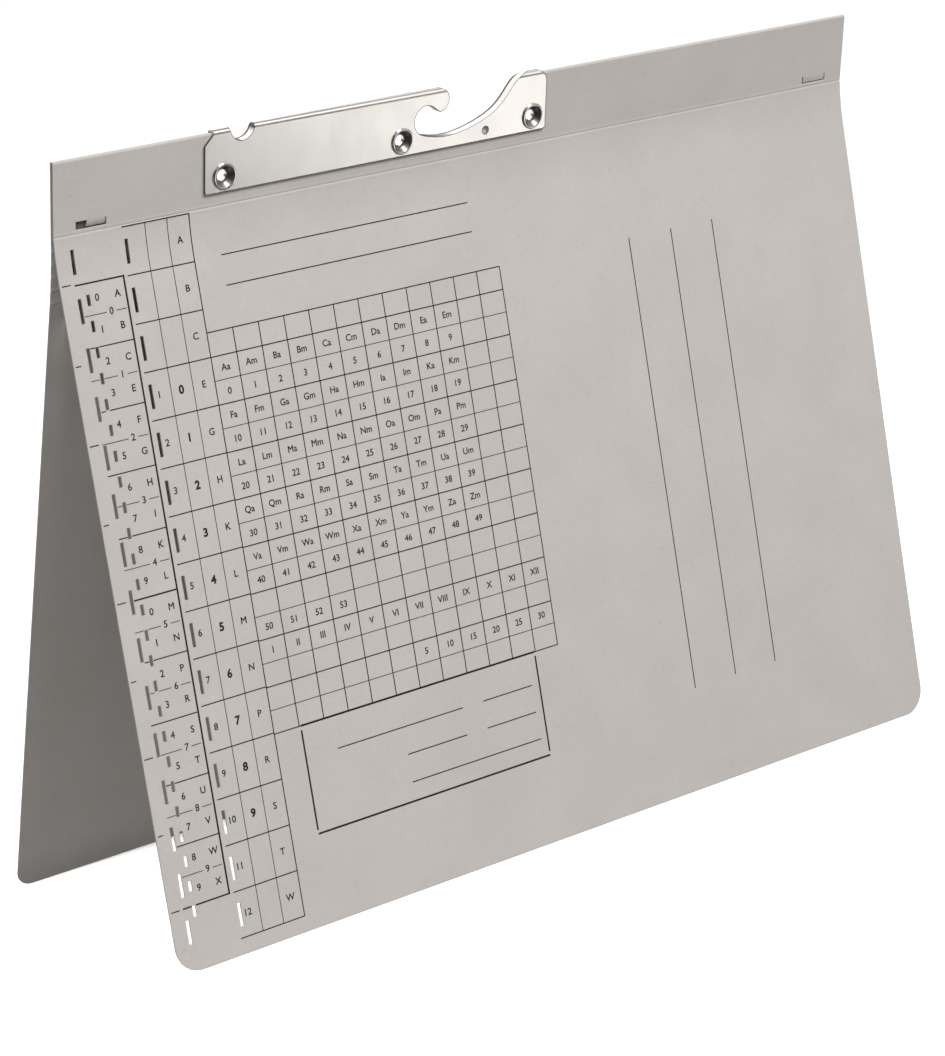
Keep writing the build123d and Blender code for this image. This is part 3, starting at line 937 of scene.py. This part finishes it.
def turn_rivet(side):
    """One rivet, turned from its outline of depths and radii in millimetres."""
    eye = mounts[f"rivet_eye_{side}"]
    outward = Vector(eye["axis"]).normalized()
    face = Vector(eye["pos_m"]) + rivet_eye_depth * outward
    across = Vector((1, 0, 0))
    upward = outward.cross(across)
    shape = bmesh.new()
    rings = []
    for step in range(rivet_sides):
        turn = 2 * pi * step / rivet_sides
        spoke = cos(turn) * across + sin(turn) * upward
        ring = []
        for depth, radius in rivet_outline:
            ring.append(shape.verts.new(face - depth * mm * outward + radius * mm * spoke))
        rings.append(ring)
    for index, wall in skin_rings(shape, rings + rings[:1]):
        wall.smooth = True
        wall.material_index = int(index in shaded_throat_points)
    bmesh.ops.recalc_face_normals(shape, faces=shape.faces)
    piece = make_piece(shape, f"rivet_{side}_eyelet", [rivet_steel, shaded_throat_steel])
    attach(piece, "spine")
    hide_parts(f"rivet_{side}")


for rivet_side in ("left", "middle", "right"):
    turn_rivet(rivet_side)

# Paper fastener
# A tinned steel strip stuck inside the front cover, whose two prongs pass through the paper and fold back
# over a channelled bar; a slide lock on each side runs along the bar and holds the prong down.
tin_tone = (0.640, 0.630, 0.610, 1.0)
tin_stain = (0.500, 0.490, 0.470, 1.0)
tin_roughness = (0.24, 0.46)
tin_grain = 0.004 * mm
fastener_edge_round = 0.06 * mm
tinned_steel = steel_finish("tinned_steel", tin_tone, tin_stain, tin_roughness, tin_grain)
for fastener_node, fastener_body in (
    ("fastener_base", "front_cover"), ("compressor_bar", "front_cover"),
    ("slide_lock_left", "lock_left"), ("slide_lock_right", "lock_right"),
):
    finish_copy(
        copy_outline(fastener_node), f"{fastener_node}_steel", fastener_node, fastener_body,
        fastener_edge_round, [tinned_steel],
    )

# Floor
# A round sheet of pale paper that the folder stands on.
# It sends no light back to the folder; a faint lamp between the covers does that instead.
floor_radius = 1.3
floor_sides = 96
floor_height = -0.02 * mm
floor_tone = (0.92, 0.92, 0.915, 1.0)
floor_cloud = (0.90, 0.90, 0.895, 1.0)
floor_paper = board_finish("floor_paper", floor_tone, floor_cloud, board_tooth, floor_cloud, floor_tone)
floor_turns = [2 * pi * step / floor_sides for step in range(floor_sides)]
floor_mesh = bpy.data.meshes.new("floor")
floor_mesh.from_pydata(
    [(floor_radius * cos(turn), floor_radius * sin(turn), floor_height) for turn in floor_turns],
    [], [range(floor_sides)],
)
floor_mesh.materials.append(floor_paper)
floor = bpy.data.objects.new("floor", floor_mesh)
bpy.context.collection.objects.link(floor)
floor.visible_diffuse = False

# Reflection cards
# A dark card on the floor and a black flag behind, which give the bright plate its run of tone.
# They show only in reflections and throw no shadow.
card_tone = (0.040, 0.039, 0.038, 1.0)
card_cloud = (0.034, 0.033, 0.032, 1.0)
card_height = 0.3 * mm
card_corners = (
    (-1.20, -1.40, card_height), (0.255, -1.40, card_height),
    (0.255, -0.05, card_height), (-1.20, -0.05, card_height),
)
flag_tone = (0.020, 0.020, 0.020, 1.0)
flag_cloud = (0.016, 0.016, 0.016, 1.0)
flag_corners = ((0.64, 0.96, 0.05), (1.02, 0.62, 0.05), (1.02, 0.62, 0.75), (0.64, 0.96, 0.75))


def stand_card(name, corners, tone, cloud_tone):
    """A dark board that shows only in reflections."""
    mesh = bpy.data.meshes.new(name)
    mesh.from_pydata(corners, [], [range(len(corners))])
    mesh.materials.append(board_finish(name, tone, cloud_tone, board_tooth, cloud_tone, tone))
    card = bpy.data.objects.new(name, mesh)
    bpy.context.collection.objects.link(card)
    card.visible_camera = False
    card.visible_diffuse = False
    card.visible_shadow = False


stand_card("mirror_card", card_corners, card_tone, card_cloud)
stand_card("black_flag", flag_corners, flag_tone, flag_cloud)

# Studio light
# A key light from front right above, a wide light behind, an overhead light and soft fills all round.
# One small light faces up between the covers, and two lights fall on the floor alone.
folder_middle = Vector((0, 0, 0.12))
floor_only = bpy.data.collections.new("floor_only")
floor_only.objects.link(floor)


def hang_soft_light(name, place, width, height, power, mirrored=True):
    """A soft box that faces the folder's middle. It may stay out of the metal's reflections."""
    lamp = bpy.data.lights.new(name, "AREA")
    lamp.shape = "RECTANGLE"
    lamp.size = width
    lamp.size_y = height
    lamp.energy = power
    holder = bpy.data.objects.new(name, lamp)
    holder.location = place
    holder.rotation_euler = (folder_middle - Vector(place)).to_track_quat("-Z", "Y").to_euler()
    holder.visible_camera = False
    holder.visible_glossy = mirrored
    bpy.context.collection.objects.link(holder)
    return holder


hang_soft_light("key_light", place=(0.45, -1.95, 2.45), width=1.2, height=1.2, power=88.0)
hang_soft_light("back_light", place=(0.45, 1.80, 1.38), width=4.5, height=1.7, power=40.0)
hang_soft_light("overhead_light", place=(0.0, 0.80, 2.50), width=1.5, height=1.5, power=4.0)
hang_soft_light("side_light", place=(-1.30, -0.98, 0.45), width=0.4, height=0.3, power=8.0, mirrored=False)
hang_soft_light("floor_glow", place=(0, 0, 0.002), width=0.40, height=0.07, power=0.012, mirrored=False)
hang_soft_light("right_light", place=(1.60, -0.40, 1.20), width=2.6, height=1.4, power=9.0)
hang_soft_light("front_light", place=(-0.80, -1.60, 1.80), width=1.5, height=1.0, power=4.0)
end_place = Vector((-1.50, -0.03, 0.35))
end_lamp = bpy.data.lights.new("end_light", "SPOT")
end_lamp.energy = 360.0
end_lamp.spot_size = radians(16)
end_lamp.spot_blend = 0.5
end_lamp.shadow_soft_size = 0.12
end_light = bpy.data.objects.new("end_light", end_lamp)
end_light.location = end_place
end_light.rotation_euler = (-end_place).to_track_quat("-Z", "Y").to_euler()
end_light.visible_camera = False
bpy.context.collection.objects.link(end_light)
end_light.light_linking.receiver_collection = floor_only
corner_light = hang_soft_light(
    "corner_light", place=(-0.90, 0.90, 1.60), width=1.0, height=1.0, power=13.0, mirrored=False
)
corner_light.light_linking.receiver_collection = floor_only

# Room
# Dim, even and a little warm, for the places that the lamps leave out.
# The camera alone sees it white, like paper hung behind the folder.
room_tint = (1.0, 0.99, 0.975, 1.0)
room_glow = 0.10
room_white = 1.05
room = bpy.data.worlds.new("room")
room.use_nodes = True
room_surface = room.node_tree.nodes["Background"]
room_surface.inputs["Color"].default_value = room_tint
seen_or_lit = wire(room.node_tree, "ShaderNodeLightPath", {}).outputs["Is Camera Ray"]
room_strength = span(room.node_tree, seen_or_lit, 0.0, 1.0, room_glow, room_white)
room.node_tree.links.new(room_strength, room_surface.inputs["Strength"])
bpy.context.scene.world = room
bpy.context.scene.view_settings.view_transform = "Standard"

# Camera
# It stands to the left of the folder's front and a little above it, tilted slightly,
# as the photograph was taken, with a long lens.
camera_place = Vector((-0.68940, -0.83408, 0.45020))
camera_aim = Vector((-0.00741, -0.00127, 0.09485))
camera_roll = radians(-1.53)
forward = (camera_aim - camera_place).normalized()
level_side = forward.cross(Vector((0, 0, 1))).normalized()
level_up = level_side.cross(forward)
side_axis = cos(camera_roll) * level_side + sin(camera_roll) * level_up
up_axis = cos(camera_roll) * level_up - sin(camera_roll) * level_side
camera_turn = Matrix((side_axis, up_axis, -forward)).transposed().to_4x4()
lens = bpy.data.cameras.new("photo_camera")
lens.lens = 120.0
lens.sensor_width = 36.0
camera = bpy.data.objects.new("photo_camera", lens)
camera.matrix_world = Matrix.Translation(camera_place) @ camera_turn
bpy.context.collection.objects.link(camera)
bpy.context.scene.camera = camera
